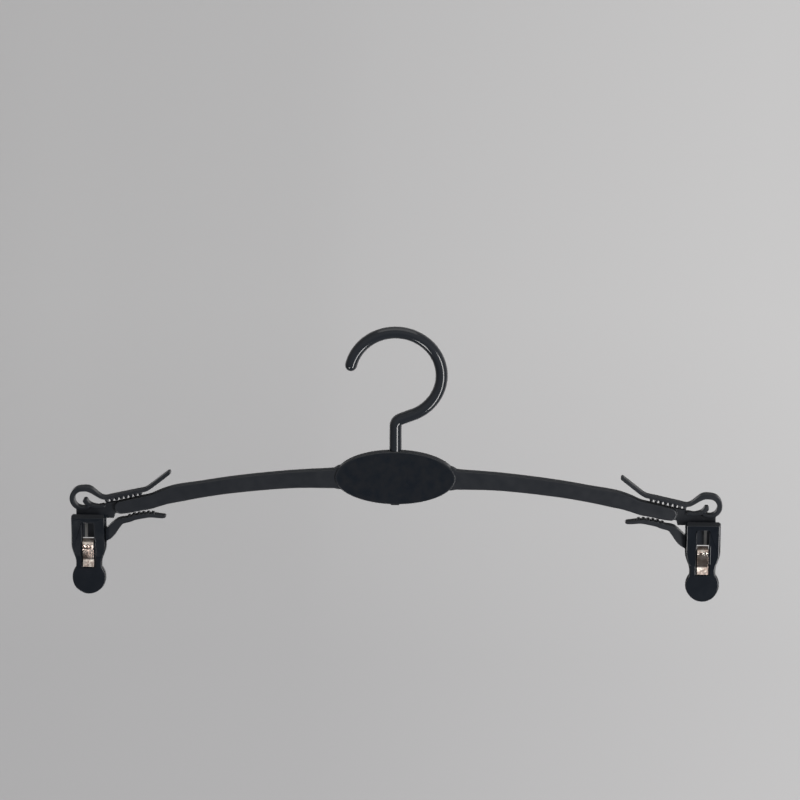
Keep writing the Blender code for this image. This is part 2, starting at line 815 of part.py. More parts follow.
def lever_front_line(inset):
    """The lever's front face from the side, top to foot, moved back by inset."""
    bend_drop = (LEVER_JAW_FRONT - LEVER_TOP_FRONT) / math.tan(LEVER_SLOPE)
    reach = LEVER_BEND_RADIUS * math.tan(LEVER_SLOPE / 2)
    centre = (
        LEVER_JAW_FRONT - LEVER_BEND_RADIUS,
        CLIP_TOP - bend_drop - reach,
    )
    line = [(LEVER_TOP_FRONT + inset, CLIP_TOP)]
    for step in range(LEVER_BEND_STEPS + 1):
        angle = LEVER_SLOPE * (1 - step / LEVER_BEND_STEPS)
        radius = LEVER_BEND_RADIUS + inset
        line.append((centre[0] + radius * math.cos(angle), centre[1] + radius * math.sin(angle)))
    line.append((LEVER_JAW_FRONT + inset, CLIP_TOP - JAW_LENGTH - CUT_OVERRUN))
    return line


def lever_blank():
    """The lever's solid: its side profile cut to the jaw's front outline."""
    rise = LEVER_TOP_DEPTH * math.sin(LEVER_SLOPE)
    top_back = LEVER_TOP_FRONT + LEVER_TOP_DEPTH * math.cos(LEVER_SLOPE)
    foot = CLIP_TOP - JAW_LENGTH - CUT_OVERRUN
    profile = lever_front_line(0.0) + [
        (LEVER_BACK, foot),
        (LEVER_BACK, HINGE_Z),
        (top_back, CLIP_TOP + rise),
    ]
    half = JAW_WIDTH / 2 + CUT_OVERRUN
    blank = extruded("lever", profile, CLIP_OFFSET - half, CLIP_OFFSET + half, side_point)
    outline = jaw_outline(JAW_WIDTH / 2, JAW_CORNER_RADIUS, DISC_RADIUS)
    tall = [(x, z + rise if z > HINGE_Z + HINGE_DROP / 2 else z) for x, z in outline]
    reach = MOULDING_DEPTH + LEVER_TOP_DEPTH
    front = extruded("front", tall, -reach, reach, front_point)
    combine(blank, front, "INTERSECT")
    return blank


def lever_groove():
    """Cutter for the groove that the spring's front leg lies over, which fades in at its top."""
    top = HINGE_Z + GROOVE_ABOVE_HINGE
    foot = HINGE_Z - GROOVE_BELOW_HINGE
    floor = [
        (y, z) for y, z in lever_front_line(GROOVE_DEPTH) if foot < z < top
    ]
    start = (lever_front(CLIP_TOP - top), top)
    end = (LEVER_JAW_FRONT + GROOVE_DEPTH, foot)
    outside = LEVER_TOP_FRONT - CUT_OVERRUN
    profile = [(outside, foot), (outside, top), start, *floor, end]
    half = GROOVE_WIDTH / 2
    return extruded("groove", profile, CLIP_OFFSET - half, CLIP_OFFSET + half, side_point)


def lever_pockets():
    """Cutters for the hollows behind the lever's face, which leave flanges and ribs."""
    inner = SLOT_WIDTH / 2 + SLOT_RIB
    outer = JAW_WIDTH / 2 - LEVER_FLANGE
    bar = LEVER_BAR_HEIGHT / 2
    levels = (
        (CLIP_TOP - LEVER_TOP_WALL, HINGE_Z + bar),
        (HINGE_Z - bar, HINGE_Z - bar - LEVER_LOWER_POCKET),
    )
    cutters = []
    for high, low in levels:
        profile = [
            (lever_front(CLIP_TOP - high) + LEVER_WALL, high),
            (0.0, high),
            (0.0, low),
            (lever_front(CLIP_TOP - low) + LEVER_WALL, low),
        ]
        for side in (RIGHT, LEFT):
            ends = sorted((CLIP_OFFSET + side * inner, CLIP_OFFSET + side * outer))
            cutters.append(extruded("pocket", profile, ends[0], ends[1], side_point))
    return cutters


def right_lever(plastic):
    """The front lever of the right clip, with its origin on the hinge's axis."""
    lever = lever_blank()
    for cutter in lever_pockets():
        combine(lever, cutter, "DIFFERENCE")
    combine(lever, lever_groove(), "DIFFERENCE")
    for low, high in knuckle_spans(0.0):
        combine(lever, knuckle(KNUCKLE_RADIUS, low + FIT_GAP, high - FIT_GAP), "UNION")
    window = spring_window("window", HINGE_Z - SLOT_BELOW_HINGE, CLIP_TOP - SLOT_TOP)
    combine(lever, window, "DIFFERENCE")
    finish(lever, plastic)
    return lever


def spring_line():
    """Centre line of the spring from the side: front tip, over the crown, back tip."""
    half = SPRING_THICKNESS / 2
    shoulder = HINGE_Z - SPRING_SHOULDER_BELOW_HINGE
    seat = HINGE_Z - SPRING_SEAT_BELOW_HINGE
    tip = HINGE_Z - SPRING_TIP_BELOW_HINGE
    front_seat = LEVER_JAW_FRONT + GROOVE_DEPTH - FIT_GAP - half
    front_shoulder = lever_front(CLIP_TOP - shoulder) - SPRING_LIFT - half
    back_seat = WEB_HALF + FIT_GAP + half
    back_shoulder = WEB_HALF + SPRING_LIFT + half
    middle = (front_shoulder + back_shoulder) / 2
    half_span = (back_shoulder - front_shoulder) / 2
    rise = HINGE_Z + SPRING_CROWN_ABOVE_HINGE - half - shoulder
    crown = []
    for step in range(SPRING_CROWN_STEPS + 1):
        angle = math.pi * (1 - step / SPRING_CROWN_STEPS)
        crown.append((middle + half_span * math.cos(angle), shoulder + rise * math.sin(angle)))
    front_leg = [
        (front_seat - SPRING_TIP_FLARE, tip),
        (front_seat, seat),
    ]
    back_leg = [
        (back_seat, seat),
        (back_seat + SPRING_TIP_FLARE, tip),
    ]
    return front_leg + crown + back_leg


def right_spring(metal):
    """The flat U spring that pinches both plates of the right clip."""
    line = [(y, z, SPRING_THICKNESS) for y, z in spring_line()]
    half = SPRING_WIDTH / 2
    spring = extruded(
        "spring", strip_outline(line), CLIP_OFFSET - half, CLIP_OFFSET + half, side_point
    )
    finish(spring, metal)
    return spring


def finish(thing, look):
    """Give a finished solid its material and smooth shading between sharp edges."""
    thing.data.materials.clear()
    thing.data.materials.append(look)
    thing.data.shade_smooth()
    thing.data.set_sharp_from_angle(angle=math.radians(35.0))


def settle_on_hinge(thing, side):
    """Move a clip piece's origin onto the axis of its hinge."""
    hinge = Vector((side * CLIP_OFFSET, HINGE_Y, HINGE_Z))
    thing.data.transform(Matrix.Translation(-hinge))
    thing.location = hinge


def make_clips(plastic, metal):
    """Levers and springs, the left ones mirrored from the right ones."""
    for kind, right in (("lever", right_lever(plastic)), ("spring", right_spring(metal))):
        right.name = "right_clip_" + kind
        left = mirrored(right, "left_clip_" + kind)
        finish(left, right.data.materials[0])
        settle_on_hinge(right, RIGHT)
        settle_on_hinge(left, LEFT)


clear_scene()
black_plastic = material("black_plastic", (0.018, 0.020, 0.023), 0.32, 0.0)
strip_metal = material("strip_metal", (0.78, 0.66, 0.58), 0.24, 1.0)
make_body(black_plastic)
make_clips(black_plastic, strip_metal)
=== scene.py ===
"""Looks of the delicates hanger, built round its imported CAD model.

Each piece is the CAD node's own form with its edges rounded, in a moulded black plastic or a
bright spring metal made of shader nodes. Sizes are in metres. The front faces -Y, Z is up and
the origin is the seat of the hook.
"""

import math

import bmesh
import bpy
from mathutils import Matrix, Vector


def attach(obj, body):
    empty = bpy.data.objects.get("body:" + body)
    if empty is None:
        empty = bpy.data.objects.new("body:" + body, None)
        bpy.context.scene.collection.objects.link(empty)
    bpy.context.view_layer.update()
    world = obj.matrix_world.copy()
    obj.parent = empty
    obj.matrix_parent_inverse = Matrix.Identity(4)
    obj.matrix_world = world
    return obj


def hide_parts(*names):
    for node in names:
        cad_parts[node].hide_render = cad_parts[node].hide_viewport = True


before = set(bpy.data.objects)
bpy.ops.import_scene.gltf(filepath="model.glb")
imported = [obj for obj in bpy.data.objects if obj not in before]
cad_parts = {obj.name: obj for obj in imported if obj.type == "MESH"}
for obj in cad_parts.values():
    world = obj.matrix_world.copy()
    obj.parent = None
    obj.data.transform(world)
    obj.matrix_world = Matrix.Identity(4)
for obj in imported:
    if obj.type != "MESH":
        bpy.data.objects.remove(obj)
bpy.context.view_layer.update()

# Camera, as the photograph was taken
IMAGE_WIDTH = 800.0
SENSOR_WIDTH = 36.0
FOCAL_PIXELS = 4500.0
CAMERA_ELEVATION = math.radians(11.5)
CAMERA_ROLL = math.radians(0.238)
CAMERA_TURN = math.radians(-2.1734)
CAMERA_DISTANCE = 1.92113
CAMERA_TARGET = Vector((0.0018396, 0.0, -0.0266977))
CAMERA_CLIP_START = 0.01

# Places on the hanger that the materials and the springs need
PLATE_CENTRE = (0.0, -0.0603)
PLATE_HALF = (0.0259, 0.01145)
PLATE_FRONT = (-0.0028, -0.0031)
PLATE_FACE = (0.985, 0.955)
PLATE_OUTSIDE = (1.0, 1.03)
HOOK_FOOT = (-0.0492, -0.0484)
CLIP_X = 0.1319
CLIP_INNER_SIDE = (0.1225, 0.1240)
CLIP_TOP = (-0.0780, -0.0786)
HINGE_Y = -0.0016
HINGE_Z = -0.0899
SLOT_BOTTOM = (HINGE_Z - 0.0030, HINGE_Z - 0.0020)
SLOT_TOP = (HINGE_Z + 0.0093, HINGE_Z + 0.0088)
SLOT_SIDE = (0.00262, 0.00255)
SLOT_RIM = (0.0031, 0.0029)
# Where the painted highlight strip lies inside each slot, outward of the clip's middle
STRIP_INNER = (0.0003, 0.0006)
STRIP_OUTER = (0.0018, 0.0015)

# Drops below the hinge between which the springs look different
CROWN_DROP = (0.0004, -0.0004)
SHOULDER_DROPS = ((0.0004, 0.0010), (0.0028, 0.0018))
MIDDLE_DROPS = ((0.0026, 0.0040), (0.0077, 0.0072))
FOOT_DROP = (0.0074, 0.0080)

# How much of a face's normal points up, back or aside
TURNED_UP = (0.75, 0.92)
TURNED_BACK = (0.3, 0.1)
TURNED_ASIDE = (0.10, 0.30)

# Noise patterns, as scale, detail and roughness, and the bands of them that mix two colours
PLASTIC_GRAIN = (2600.0, 3.0, 0.6)
PLASTIC_CLOUD = (260.0, 4.0, 0.62)
PLASTIC_FLOW = (60.0, 2.0, 0.5)
METAL_STREAKS = (900.0, 4.0, 0.65)
METAL_CLOUD = (420.0, 3.0, 0.6)
METAL_DENTS = (900.0, 1.5, 0.5)
SWEEP_GRAIN = (900.0, 2.0, 0.5)
CLOUD_BAND = (0.35, 0.68)
PLATE_CLOUD_BAND = (0.38, 0.62)
TARNISH_BAND = (0.42, 0.56)

# Colours of the plastic
ARM_COLOURS = ((0.0126, 0.0150, 0.0196, 1.0), (0.0154, 0.0176, 0.0224, 1.0))
CLIP_COLOURS = ((0.0080, 0.0106, 0.0150, 1.0), (0.0098, 0.0124, 0.0172, 1.0))
PLATE_COLOURS = ((0.0036, 0.0066, 0.0116, 1.0), (0.0060, 0.0078, 0.0116, 1.0))
HOOK_COLOUR = (0.0200, 0.0232, 0.0288, 1.0)
# Painted light: the slots' inside is painted paler where shade falls, and a pale strip on it is
# a painted highlight
SLOT_PAINTED_LIGHT = (0.028, 0.032, 0.040, 1.0)
STRIP_PAINTED_HIGHLIGHT = (0.42, 0.42, 0.42, 1.0)

# Roughness of the plastic, and how far its clouding changes it
ARM_ROUGHNESS = 0.34
HOOK_ROUGHNESS = 0.13
CLIP_ROUGHNESS = 0.16
RIM_ROUGHNESS = 0.60
PLATE_ROUGHNESS = 0.30
TOP_ROUGHNESS = 0.85
ARM_CLOUDING = 0.16
HOOK_CLOUDING = 0.04
FLOW_CLOUDING = 0.06
PLASTIC_IOR = 1.56

# Relief of the plastic: heights of its patterns, the hook's share, strength and distance
GRAIN_HEIGHT = 0.35
CLOUD_HEIGHT = 0.9
HOOK_RELIEF = 0.12
PLASTIC_RELIEF = (0.22, 0.00004)

# Colours, roughness and relief of the springs' metal
WARM_METAL = (0.58, 0.42, 0.35, 1.0)
PALE_METAL = (0.93, 0.86, 0.78, 1.0)
# Painted shade: a darker colour for the flat middle of each spring, standing in for a dark
# reflection
SHADED_MIDDLE_METAL = (0.36, 0.27, 0.235, 1.0)
METAL_ROUGHNESS = 0.12
WORN_METAL_ROUGHNESS = 0.50
STREAK_ROUGHNESS = 0.14
MIDDLE_SHADE_SHARE = 0.6
STREAK_STRETCH = (9.0, 1.0, 0.6)
STREAK_HEIGHT = 0.06
LEAST_DENTS = 0.12
METAL_RELIEF = (1.0, 0.00035)

# Rounding: widths, segments, the angle from which an edge is rounded, and planes that split
# the moulding's flat faces where holes would spoil them
BODY_ROUNDING = (0.00018, 2)
LEVER_ROUNDING = (0.00024, 3)
SPRING_ROUNDING = (0.00008, 2)
ROUND_FROM = math.radians(34.0)
WELD_WITHIN = 0.000004
FLAT_WITHIN = math.radians(0.3)
CUTS_X = (0.0003, -0.0805, 0.0805)
CUTS_Z = (-0.0853, -0.0935)

# Room for the rounding: shares of a face and of an edge that it may take up
FACE_SHARE = 1 / 2.2
EDGE_SHARE = 0.9
PLAIN_EDGE_SHARE = 0.45
LEAST_SINE = 0.2
LARGEST_HALF_TURN = 1.4
LEAST_WEIGHT = 0.12
NEARLY_ZERO = 1e-7

# Backdrop
SWEEP_HALF_WIDTH = 3.0
SWEEP_CURVE = 0.20
SWEEP_CURVE_STEPS = 12
WALL_Y = 0.30
WALL_TOP = 2.0
FLOOR_Z = -1.60
FLOOR_FRONT = -3.0
WALL_COLOURS = ((0.53, 0.53, 0.54, 1.0), (0.66, 0.66, 0.665, 1.0))
FLOOR_COLOUR = (0.22, 0.22, 0.225, 1.0)
SWEEP_FOR_BOUNCES = (0.08, 0.08, 0.085, 1.0)
SWEEP_ROUGHNESS = 0.9
SWEEP_SPECULAR = 0.1

# Painted light on the backdrop: where it grows paler, to the right and upwards, and by how much;
# and where the floor's colour goes over into the wall's
PALER_RIGHT = (-0.06, 0.20)
PALER_RIGHT_SHARE = 0.55
PALER_UP = (-0.22, -0.04)
PALER_UP_SHARE = 0.50
SWEEP_GRAIN_SHARE = 0.03
FLOOR_TO_WALL = (-1.0, -0.5)

# Surround
SURROUND_COLOURS = ((0.06, 0.06, 0.062, 1.0), (0.22, 0.22, 0.22, 1.0))
SURROUND_SEEN = (0.50, 0.50, 0.505, 1.0)
SURROUND_RISE = (-0.35, 0.25)

# Lights stand round this point: name, direction in the camera's axes, size, radiance, colour
# and whether reflections show it
LIGHT_CENTRE = Vector((0.0, 0.0, -0.06))
LIGHT_DISTANCE = 1.3
NEUTRAL = (1.0, 0.99, 0.98)
WARM = (1.0, 0.98, 0.96)
LIGHTS = (
    ("right_window", (0.60, -0.42, 0.66), (0.30, 1.56), 11.0, NEUTRAL, True),
    ("lower_left", (-0.47, -0.76, 0.44), (0.36, 0.30), 10.0, NEUTRAL, True),
    ("overhead", (0.0, 0.92, 0.39), (1.20, 1.00), 0.9, WARM, True),
    ("wall_fill", (0.0, 0.55, 0.80), (1.60, 1.20), 0.4, NEUTRAL, False),
)


def view_axes():
    """The camera's own right, up and forward directions."""
    forward = Vector((
        math.sin(CAMERA_TURN) * math.cos(CAMERA_ELEVATION),
        math.cos(CAMERA_TURN) * math.cos(CAMERA_ELEVATION),
        -math.sin(CAMERA_ELEVATION),
    ))
    level = Vector((math.cos(CAMERA_TURN), -math.sin(CAMERA_TURN), 0.0))
    upright = level.cross(forward)
    right = math.cos(CAMERA_ROLL) * level + math.sin(CAMERA_ROLL) * upright
    up = math.cos(CAMERA_ROLL) * upright - math.sin(CAMERA_ROLL) * level
    return right, up, forward


def add_object(name, data):
    """A new object in the scene."""
    result = bpy.data.objects.new(name, data)
    bpy.context.scene.collection.objects.link(result)
    return result


def set_camera():
    """A camera at the photograph's viewing angle."""
    right, up, forward = view_axes()
    data = bpy.data.cameras.new("camera")
    data.sensor_width = SENSOR_WIDTH
    data.lens = SENSOR_WIDTH * FOCAL_PIXELS / IMAGE_WIDTH
    data.clip_start = CAMERA_CLIP_START
    camera = add_object("camera", data)
    rotation = Matrix((right, up, -forward)).transposed()
    place = CAMERA_TARGET - CAMERA_DISTANCE * forward
    camera.matrix_world = Matrix.Translation(place) @ rotation.to_4x4()
    bpy.context.scene.camera = camera


def soft_light(name, direction, size, radiance, colour, glossy):
    """A soft rectangular light that faces the hanger."""
    right, up, forward = view_axes()
    toward = (right * direction[0] + up * direction[1] - forward * direction[2]).normalized()
    data = bpy.data.lights.new(name, "AREA")
    data.shape = "RECTANGLE"
    data.size, data.size_y = size
    data.energy = radiance * math.pi * size[0] * size[1]
    data.color = colour
    light = add_object(name, data)
    rotation = (-toward).to_track_quat("-Z", "Y").to_matrix()
    place = LIGHT_CENTRE + LIGHT_DISTANCE * toward
    light.matrix_world = Matrix.Translation(place) @ rotation.to_4x4()
    light.visible_glossy = glossy


class Nodes:
    """A small helper that adds and joins shader nodes."""

    def __init__(self, tree):
        self.tree = tree

    def add(self, kind, **sockets):
        """A node, with a value or a link for each socket named."""
        node = self.tree.nodes.new(kind)
        for name, value in sockets.items():
            self.put(node.inputs[name], value)
        return node

    def put(self, socket, value):
        """Link an output to a socket, or write a plain value in it."""
        if isinstance(value, bpy.types.NodeSocket):
            self.tree.links.new(value, socket)
        else:
            socket.default_value = value

    def math(self, operation, first, second=0.0, clamp=False):
        """One step of arithmetic."""
        node = self.tree.nodes.new("ShaderNodeMath")
        node.operation = operation
        node.use_clamp = clamp
        self.put(node.inputs[0], first)
        self.put(node.inputs[1], second)
        return node.outputs[0]

    def product(self, *factors):
        """All factors multiplied."""
        result = factors[0]
        for factor in factors[1:]:
            result = self.math("MULTIPLY", result, factor)
        return result

    def size_of(self, value):
        """The value without its sign."""
        return self.math("ABSOLUTE", value)

    def mix(self, share, first, second):
        """A number between first and second."""
        return self.math("ADD", first, self.product(share, self.math("SUBTRACT", second, first)))

    def band(self, value, low, high):
        """0 at low, 1 at high, a straight ramp between and flat beyond."""
        node = self.tree.nodes.new("ShaderNodeMapRange")
        node.clamp = True
        for socket, number in zip(node.inputs, (value, low, high, 0.0, 1.0)):
            self.put(socket, number)
        return node.outputs[0]

    def mix_colour(self, share, first, second):
        """A colour between first and second."""
        node = self.tree.nodes.new("ShaderNodeMix")
        node.data_type = "RGBA"
        self.put(node.inputs[0], share)
        self.put(node.inputs[6], first)
        self.put(node.inputs[7], second)
        return node.outputs[2]

    def noise(self, place, scale, detail, roughness):
        """Noise between 0 and 1."""
        node = self.add(
            "ShaderNodeTexNoise", Vector=place, Scale=scale, Detail=detail, Roughness=roughness
        )
        return node.outputs["Fac"]

    def wave(self, pattern, height):
        """A pattern of 0 to 1 as a swing about zero."""
        return self.product(self.math("SUBTRACT", pattern, 0.5), height)

    def relief(self, shader, height, strength, distance):
        """Give a shader a bumped normal."""
        bump = self.add("ShaderNodeBump", Strength=strength, Distance=distance, Height=height)
        self.put(shader.inputs["Normal"], bump.outputs["Normal"])


def new_material(name):
    """An empty node material with its Principled shader."""
    result = bpy.data.materials.new(name)
    result.use_nodes = True
    tree = result.node_tree
    return result, Nodes(tree), tree.nodes["Principled BSDF"]


def plastic_areas(n, place, normal):
    """Masks for the parts of the mouldings that look different."""
    x, y, z = n.add("ShaderNodeSeparateXYZ", Vector=place).outputs
    side, back, up = n.add("ShaderNodeSeparateXYZ", Vector=normal).outputs
    across = n.math("DIVIDE", n.math("SUBTRACT", x, PLATE_CENTRE[0]), PLATE_HALF[0])
    along = n.math("DIVIDE", n.math("SUBTRACT", z, PLATE_CENTRE[1]), PLATE_HALF[1])
    square = n.math("ADD", n.product(across, across), n.product(along, along))
    reach = n.math("SQRT", square)
    outward = n.math("SUBTRACT", n.size_of(x), CLIP_X)
    from_middle = n.size_of(outward)
    hook = n.product(n.band(z, *HOOK_FOOT), n.band(reach, *PLATE_OUTSIDE))
    clip = n.product(n.band(n.size_of(x), *CLIP_INNER_SIDE), n.band(z, *CLIP_TOP))
    return {
        "plate": n.product(n.band(reach, *PLATE_FACE), n.band(y, *PLATE_FRONT)),
        "hook": hook,
        "clip": clip,
        "top": n.product(n.band(up, *TURNED_UP), n.math("SUBTRACT", 1.0, hook)),
        # Where the slots' inside is painted paler, standing in for light that the slot's shade
        # keeps out
        "slot": n.product(
            n.band(from_middle, *SLOT_SIDE), n.band(back, *TURNED_BACK),
            n.band(z, *SLOT_BOTTOM), n.band(z, *SLOT_TOP),
        ),
        "strip": n.product(n.band(outward, *STRIP_INNER), n.band(outward, *STRIP_OUTER)),
        "rim": n.product(
            clip, n.band(from_middle, *SLOT_RIM), n.band(n.size_of(side), *TURNED_ASIDE)
        ),
    }


def plastic_roughness(n, areas, cloud, flow):
    """Glossy on the hook and the clips, satin on the arms, dull on faces that look up."""
    rough = n.mix(areas["hook"], ARM_ROUGHNESS, HOOK_ROUGHNESS)
    rough = n.mix(areas["clip"], rough, CLIP_ROUGHNESS)
    rough = n.mix(areas["rim"], rough, RIM_ROUGHNESS)
    rough = n.mix(areas["plate"], rough, PLATE_ROUGHNESS)
    rough = n.mix(areas["top"], rough, TOP_ROUGHNESS)
    clouding = n.mix(areas["hook"], ARM_CLOUDING, HOOK_CLOUDING)
    rough = n.math("ADD", rough, n.wave(cloud, clouding))
    return n.math("ADD", rough, n.wave(flow, FLOW_CLOUDING), clamp=True)


def plastic_colour(n, areas, cloud):
    """Blacks that differ a little from area to area, and painted light inside the slots: a paler
    colour where shade falls, with a painted highlight strip.
    """
    arm = n.mix_colour(n.band(cloud, *CLOUD_BAND), *ARM_COLOURS)
    clip = n.mix_colour(n.band(cloud, *CLOUD_BAND), *CLIP_COLOURS)
    plate = n.mix_colour(n.band(cloud, *PLATE_CLOUD_BAND), *PLATE_COLOURS)
    # Painted light in the slots: a paler colour in their shade, and a painted highlight strip
    slot = n.mix_colour(areas["strip"], SLOT_PAINTED_LIGHT, STRIP_PAINTED_HIGHLIGHT)
    colour = n.mix_colour(areas["hook"], arm, HOOK_COLOUR)
    colour = n.mix_colour(areas["clip"], colour, clip)
    colour = n.mix_colour(areas["plate"], colour, plate)
    return n.mix_colour(areas["slot"], colour, slot)


def moulded_plastic():
    """Black plastic for the body and the levers."""
    result, n, shader = new_material("moulded_black_plastic")
    coordinates = n.add("ShaderNodeTexCoord").outputs
    place = coordinates["Object"]
    areas = plastic_areas(n, place, coordinates["Normal"])
    fine = n.noise(place, *PLASTIC_GRAIN)
    cloud = n.noise(place, *PLASTIC_CLOUD)
    flow = n.noise(place, *PLASTIC_FLOW)
    n.put(shader.inputs["Base Color"], plastic_colour(n, areas, cloud))
    n.put(shader.inputs["Roughness"], plastic_roughness(n, areas, cloud, flow))
    shader.inputs["IOR"].default_value = PLASTIC_IOR
    grain = n.math("ADD", n.product(fine, GRAIN_HEIGHT), n.product(cloud, CLOUD_HEIGHT))
    height = n.product(grain, n.mix(areas["hook"], 1.0, HOOK_RELIEF))
    n.relief(shader, height, *PLASTIC_RELIEF)
    return result


def spring_metal():
    """Nickel-plated strip with a warm tint, and painted shade that darkens it between its
    shoulder and its foot.
    """
    result, n, shader = new_material("bright_strip_metal")
    place = n.add("ShaderNodeTexCoord").outputs["Object"]
    stretch = n.add("ShaderNodeMapping", Vector=place, Scale=STREAK_STRETCH)
    streaks = n.noise(stretch.outputs["Vector"], *METAL_STREAKS)
    cloud = n.noise(place, *METAL_CLOUD)
    dents = n.noise(place, *METAL_DENTS)
    z = n.add("ShaderNodeSeparateXYZ", Vector=place).outputs[2]
    drop = n.math("SUBTRACT", HINGE_Z, z)
    crown = n.band(drop, *CROWN_DROP)
    shoulder = n.product(*(n.band(drop, *ends) for ends in SHOULDER_DROPS))
    middle = n.product(*(n.band(drop, *ends) for ends in MIDDLE_DROPS))
    foot = n.band(drop, *FOOT_DROP)
    tarnish = n.math("ADD", n.product(cloud, 0.5), n.product(streaks, 0.5))
    plating_and_shade = n.mix_colour(n.band(tarnish, *TARNISH_BAND), WARM_METAL, PALE_METAL)
    # Painted shade darkens the flat middle of the spring
    plating_and_shade = n.mix_colour(n.product(middle, MIDDLE_SHADE_SHARE), plating_and_shade, SHADED_MIDDLE_METAL)
    n.put(shader.inputs["Base Color"], plating_and_shade)
    shader.inputs["Metallic"].default_value = 1.0
    rough = n.math("ADD", METAL_ROUGHNESS, n.product(streaks, STREAK_ROUGHNESS))
    rough = n.mix(n.math("MAXIMUM", crown, foot), rough, WORN_METAL_ROUGHNESS)
    n.put(shader.inputs["Roughness"], rough)
    worn = n.math("ADD", n.math("MAXIMUM", foot, shoulder), LEAST_DENTS, clamp=True)
    height = n.math("ADD", n.product(streaks, STREAK_HEIGHT), n.product(dents, worn))
    n.relief(shader, height, *METAL_RELIEF)
    return result


def merge_flat_faces(edit):
    """Join the triangles of each flat face, and cut the faces where holes would spoil them."""
    bmesh.ops.dissolve_limit(edit, angle_limit=FLAT_WITHIN, verts=edit.verts, edges=edit.edges)
    cuts = [(Vector((x, 0.0, 0.0)), Vector((1.0, 0.0, 0.0))) for x in CUTS_X]
    cuts += [(Vector((0.0, 0.0, z)), Vector((0.0, 0.0, 1.0))) for z in CUTS_Z]
    for point, normal in cuts:
        geometry = [*edit.verts, *edit.edges, *edit.faces]
        bmesh.ops.bisect_plane(edit, geom=geometry, plane_co=point, plane_no=normal)


def corner_turn(loop):
    """How far a face's outline turns at a corner, positive where the corner is convex."""
    into = loop.vert.co - loop.link_loop_prev.vert.co
    out = loop.link_loop_next.vert.co - loop.vert.co
    return math.atan2(loop.face.normal.dot(into.cross(out)), into.dot(out))


def room_across(loop, along, length, width):
    """The widest rounding that fits between an edge and the rest of its face's outline."""
    inward = loop.face.normal.cross(along)
    room = width
    for vert in loop.face.verts:
        offset = vert.co - loop.vert.co
        ahead, aside = offset.dot(along), offset.dot(inward)
        near = -width < ahead < length + width and aside > NEARLY_ZERO
        if near and vert not in loop.edge.verts:
            past_end = max(0.0, -ahead, ahead - length)
            room = min(room, math.hypot(aside, past_end) * FACE_SHARE)
    return room


def room_beside(loop, width, sharp):
    """The widest rounding that a face can take along one of its edges without folding over."""
    after = loop.link_loop_next
    along = after.vert.co - loop.vert.co
    length = along.length
    along.normalize()
    room = room_across(loop, along, length, width)
    shrink = 0.0
    for corner, beside in ((loop, loop.link_loop_prev.edge), (after, after.edge)):
        turn = corner_turn(corner)
        shrink += math.tan(max(-LARGEST_HALF_TURN, min(LARGEST_HALF_TURN, turn / 2)))
        if beside not in sharp:
            sine = max(LEAST_SINE, abs(math.sin(turn)))
            room = min(room, PLAIN_EDGE_SHARE * beside.calc_length() * sine)
    if shrink > 0.0:
        room = min(room, EDGE_SHARE * length / shrink)
    return room


def weigh_edges(edit, width):
    """Mark the sharp edges for rounding, each as far as the faces beside it have room."""
    weights = edit.edges.layers.float.new("bevel_weight_edge")
    sharp = {
        edge for edge in edit.edges
        if len(edge.link_faces) == 2 and edge.calc_face_angle(0.0) > ROUND_FROM
    }
    for edge in sharp:
        weight = min(room_beside(loop, width, sharp) for loop in edge.link_loops) / width
        edge[weights] = weight if weight > LEAST_WEIGHT else 0.0


def rounded_copy(node, name, rounding, keep=None, even_normals=True, fitted=False):
    """A copy of a CAD node's form with its sharp edges rounded.

    keep is a plane, as a point and a normal, whose far side is cut off. even_normals shades the
    surface smoothly, and fitted narrows the rounding where there is little room for it.
    """
    width, segments = rounding
    edit = bmesh.new()
    edit.from_mesh(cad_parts[node].data)
    bmesh.ops.remove_doubles(edit, verts=edit.verts, dist=WELD_WITHIN)
    if keep is not None:
        point, normal = keep
        geometry = [*edit.verts, *edit.edges, *edit.faces]
        bmesh.ops.bisect_plane(
            edit, geom=geometry, plane_co=point, plane_no=normal, clear_outer=True
        )
        rim = [edge for edge in edit.edges if edge.is_boundary]
        bmesh.ops.holes_fill(edit, edges=rim)
    if fitted:
        merge_flat_faces(edit)
    bmesh.ops.recalc_face_normals(edit, faces=edit.faces)
    if fitted:
        weigh_edges(edit, width)
    mesh = bpy.data.meshes.new(name)
    edit.to_mesh(mesh)
    edit.free()
    piece = add_object(name, mesh)
    bevel = piece.modifiers.new("rounding", "BEVEL")
    bevel.width = width
    bevel.segments = segments
    bevel.limit_method = "WEIGHT" if fitted else "ANGLE"
    bevel.angle_limit = ROUND_FROM
    bevel.use_clamp_overlap = False
    bevel.face_strength_mode = "FSTR_ALL"
    bevel.miter_outer = "MITER_ARC"
    if even_normals:
        mesh.shade_smooth()
        smooth = piece.modifiers.new("even_normals", "WEIGHTED_NORMAL")
        smooth.keep_sharp = True
        smooth.use_face_influence = True
    return piece


def dress(piece, node, body, material):
    """Give a piece its material and its body, and hide the CAD node it stands in for."""
    piece.data.materials.clear()
    piece.data.materials.append(material)
    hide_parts(node)
    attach(piece, body)


def sweep_mesh():
    """A wall behind the hanger that curves into a floor below it."""
    profile = [(FLOOR_FRONT, FLOOR_Z)]
    for step in range(SWEEP_CURVE_STEPS + 1):
        angle = math.pi / 2 * step / SWEEP_CURVE_STEPS
        profile.append((
            WALL_Y - SWEEP_CURVE + SWEEP_CURVE * math.sin(angle),
            FLOOR_Z + SWEEP_CURVE - SWEEP_CURVE * math.cos(angle),
        ))
    profile.append((WALL_Y, WALL_TOP))
    edit = bmesh.new()
    rows = [
        (edit.verts.new((-SWEEP_HALF_WIDTH, y, z)), edit.verts.new((SWEEP_HALF_WIDTH, y, z)))
        for y, z in profile
    ]
    for below, above in zip(rows, rows[1:]):
        edit.faces.new((below[0], below[1], above[1], above[0]))
    mesh = bpy.data.meshes.new("sweep")
    edit.to_mesh(mesh)
    edit.free()
    mesh.shade_smooth()
    return mesh


